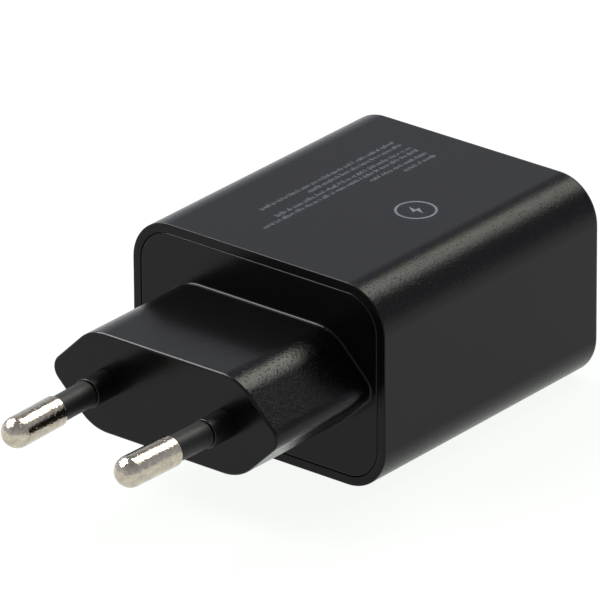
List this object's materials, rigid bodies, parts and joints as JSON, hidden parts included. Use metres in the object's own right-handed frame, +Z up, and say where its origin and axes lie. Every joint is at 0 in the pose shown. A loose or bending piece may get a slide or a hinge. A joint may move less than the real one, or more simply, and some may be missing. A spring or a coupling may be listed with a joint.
{
  "type": "usb wall charger",
  "caption": "Black plug-in USB wall charger: rounded box housing, hollow hexagonal Euro plug nose with sleeved round pins, USB sockets on the far end and the power circuit inside",
  "frame": {"origin": "on the supporting surface, under the middle of the whole charger from port face to pin tips", "axes": "+Z up through the label side, +Y along the plug pins towards the wall socket, -Y out of the USB port face, X across the width"},
  "size_m": [0.0396, 0.0798, 0.0271],
  "materials": {
    "black_plastic": "black polycarbonate with a fine spark-eroded texture and a satin sheen",
    "sleeve_plastic": "smooth black insulating plastic, satin to glossy",
    "nickel": "bright nickel plate, slightly warm, with fine drawn marks",
    "strip_brass": "plain stamped brass",
    "socket_steel": "nickel-plated steel sheet",
    "gold_plate": "gold-plated spring contact",
    "board_green": "green solder mask on glass-fibre laminate",
    "insulator_black": "black moulded connector plastic",
    "ferrite": "dull dark grey ferrite",
    "bobbin_black": "black phenolic moulding",
    "tape_yellow": "yellow polyester tape over the winding",
    "copper": "enamelled copper wire",
    "can_black": "aluminium can in a dark sleeve",
    "can_silver": "bare aluminium can",
    "fuse_brown": "brown moulded fuse cap",
    "disc_blue": "blue dipped epoxy coating",
    "chip_black": "black moulded chip package",
    "sheet_clear": "thin milky insulating film"
  },
  "bodies": {
    "charger_body": {"housing_shell": "black_plastic", "rear_cover": "black_plastic", "pin_left": "nickel", "pin_right": "nickel", "pin_sleeve_left": "sleeve_plastic", "pin_sleeve_right": "sleeve_plastic", "contact_strip_left": "strip_brass", "contact_strip_right": "strip_brass", "usb_a_shell": "socket_steel", "usb_a_tongue": "insulator_black", "usb_c_shell": "socket_steel", "usb_c_tongue": "insulator_black", "port_board": "board_green", "port_controller": "chip_black", "board_header": "insulator_black", "main_board": "board_green", "insulation_sheet": "sheet_clear", "transformer_core_lower": "ferrite", "transformer_core_upper": "ferrite", "transformer_bobbin": "bobbin_black", "transformer_winding": "tape_yellow", "input_capacitor_1": "can_black", "input_capacitor_2": "can_black", "output_capacitor_1": "can_silver", "output_capacitor_2": "can_silver", "fuse": "fuse_brown", "filter_inductor_core": "ferrite", "filter_inductor_winding": "copper", "safety_capacitor": "disc_blue", "bridge_rectifier": "chip_black", "primary_controller": "chip_black", "optocoupler": "chip_black", "sync_rectifier": "chip_black"},
    "contact_leaf_1": {"usb_a_contact_1": "gold_plate"},
    "contact_leaf_2": {"usb_a_contact_2": "gold_plate"},
    "contact_leaf_3": {"usb_a_contact_3": "gold_plate"},
    "contact_leaf_4": {"usb_a_contact_4": "gold_plate"}
  },
  "joints": [
    {"name": "contact_1_flex", "type": "hinge", "parent": "charger_body", "child": "contact_leaf_1", "pos_m": [0.0035, -0.03115, 0.01338], "axis": [-1, 0, 0], "range_deg": [0, 3.4], "stiffness_Nm_per_rad": 0.05},
    {"name": "contact_2_flex", "type": "hinge", "parent": "charger_body", "child": "contact_leaf_2", "pos_m": [0.006, -0.03115, 0.01338], "axis": [-1, 0, 0], "range_deg": [0, 3.4], "stiffness_Nm_per_rad": 0.05},
    {"name": "contact_3_flex", "type": "hinge", "parent": "charger_body", "child": "contact_leaf_3", "pos_m": [0.008, -0.03115, 0.01338], "axis": [-1, 0, 0], "range_deg": [0, 3.4], "stiffness_Nm_per_rad": 0.05},
    {"name": "contact_4_flex", "type": "hinge", "parent": "charger_body", "child": "contact_leaf_4", "pos_m": [0.0105, -0.03115, 0.01338], "axis": [-1, 0, 0], "range_deg": [0, 3.4], "stiffness_Nm_per_rad": 0.05}
  ]
}
